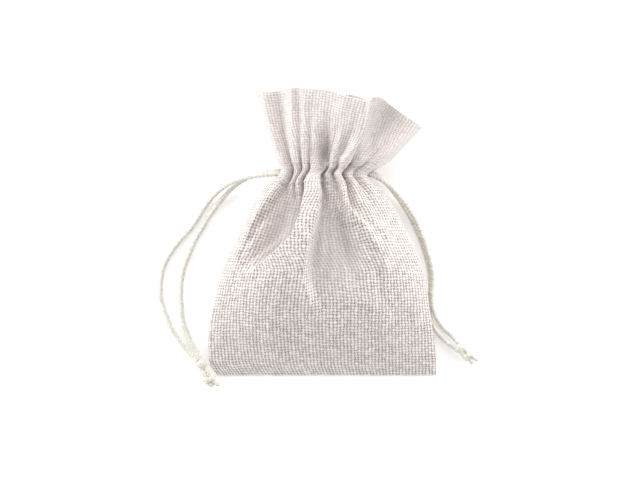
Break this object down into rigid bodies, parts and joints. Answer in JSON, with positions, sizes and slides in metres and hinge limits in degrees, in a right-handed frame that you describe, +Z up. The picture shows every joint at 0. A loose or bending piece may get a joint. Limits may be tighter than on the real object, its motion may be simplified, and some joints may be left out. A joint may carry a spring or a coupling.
{
  "type": "drawstring gift pouch",
  "caption": "Small open-weave cloth pouch with a ruffled header, lying filled on its back and drawn shut by two knotted cords that leave the neck at opposite sides.",
  "frame": {"origin": "on the surface the pouch lies on, under the middle of the pouch without its free cords", "axes": "+X to the right of the pouch seen from its front, +Y from the bottom fold to the mouth, +Z up from the surface, out of the pouch's front"},
  "size_m": [0.1259, 0.1178, 0.0299],
  "materials": {
    "cloth": "matte open weave",
    "lining": "matte open weave",
    "thread": "matte thread",
    "cord": "matte braid"
  },
  "bodies": {
    "pouch": {"front_panel": "cloth", "back_panel": "cloth", "left_side_seam": "thread", "right_side_seam": "thread", "back_channel": "cloth", "back_channel_lining": "lining", "back_header": "cloth", "back_header_lining": "lining", "back_lower_stitches": "thread", "back_upper_stitches": "thread", "left_cord_back_run": "cord", "right_cord_back_run": "cord"},
    "neck_front": {"front_channel": "cloth", "front_channel_lining": "lining", "front_lower_stitches": "thread", "front_upper_stitches": "thread", "left_cord_front_run": "cord", "right_cord_front_run": "cord"},
    "ruffle_front": {"front_header": "cloth", "front_header_lining": "lining"},
    "left_cord": {"left_outer_tail": "cord", "left_inner_tail": "cord", "left_knot": "cord", "left_cord_ends": "cord"},
    "right_cord": {"right_outer_tail": "cord", "right_inner_tail": "cord", "right_knot": "cord", "right_cord_ends": "cord"}
  },
  "joints": [
    {"name": "left_cord_pull", "type": "slide", "parent": "pouch", "child": "left_cord", "axis": [-1, 0, 0], "range_m": [0, 0.01]},
    {"name": "right_cord_pull", "type": "slide", "parent": "pouch", "child": "right_cord", "axis": [1, 0, 0], "range_m": [0, 0.01]},
    {"name": "neck_tighten", "type": "slide", "parent": "pouch", "child": "neck_front", "axis": [0, 0, -1], "range_m": [0, 0.002]},
    {"name": "mouth_open", "type": "hinge", "parent": "neck_front", "child": "ruffle_front", "pos_m": [0, 0.0278, 0.0186], "axis": [1, 0, 0], "range_deg": [0, 35]}
  ],
  "couplings": [
    {"joint": "right_cord_pull", "follows": "left_cord_pull", "ratio": 1},
    {"joint": "neck_tighten", "follows": "left_cord_pull", "ratio": 0.2}
  ]
}
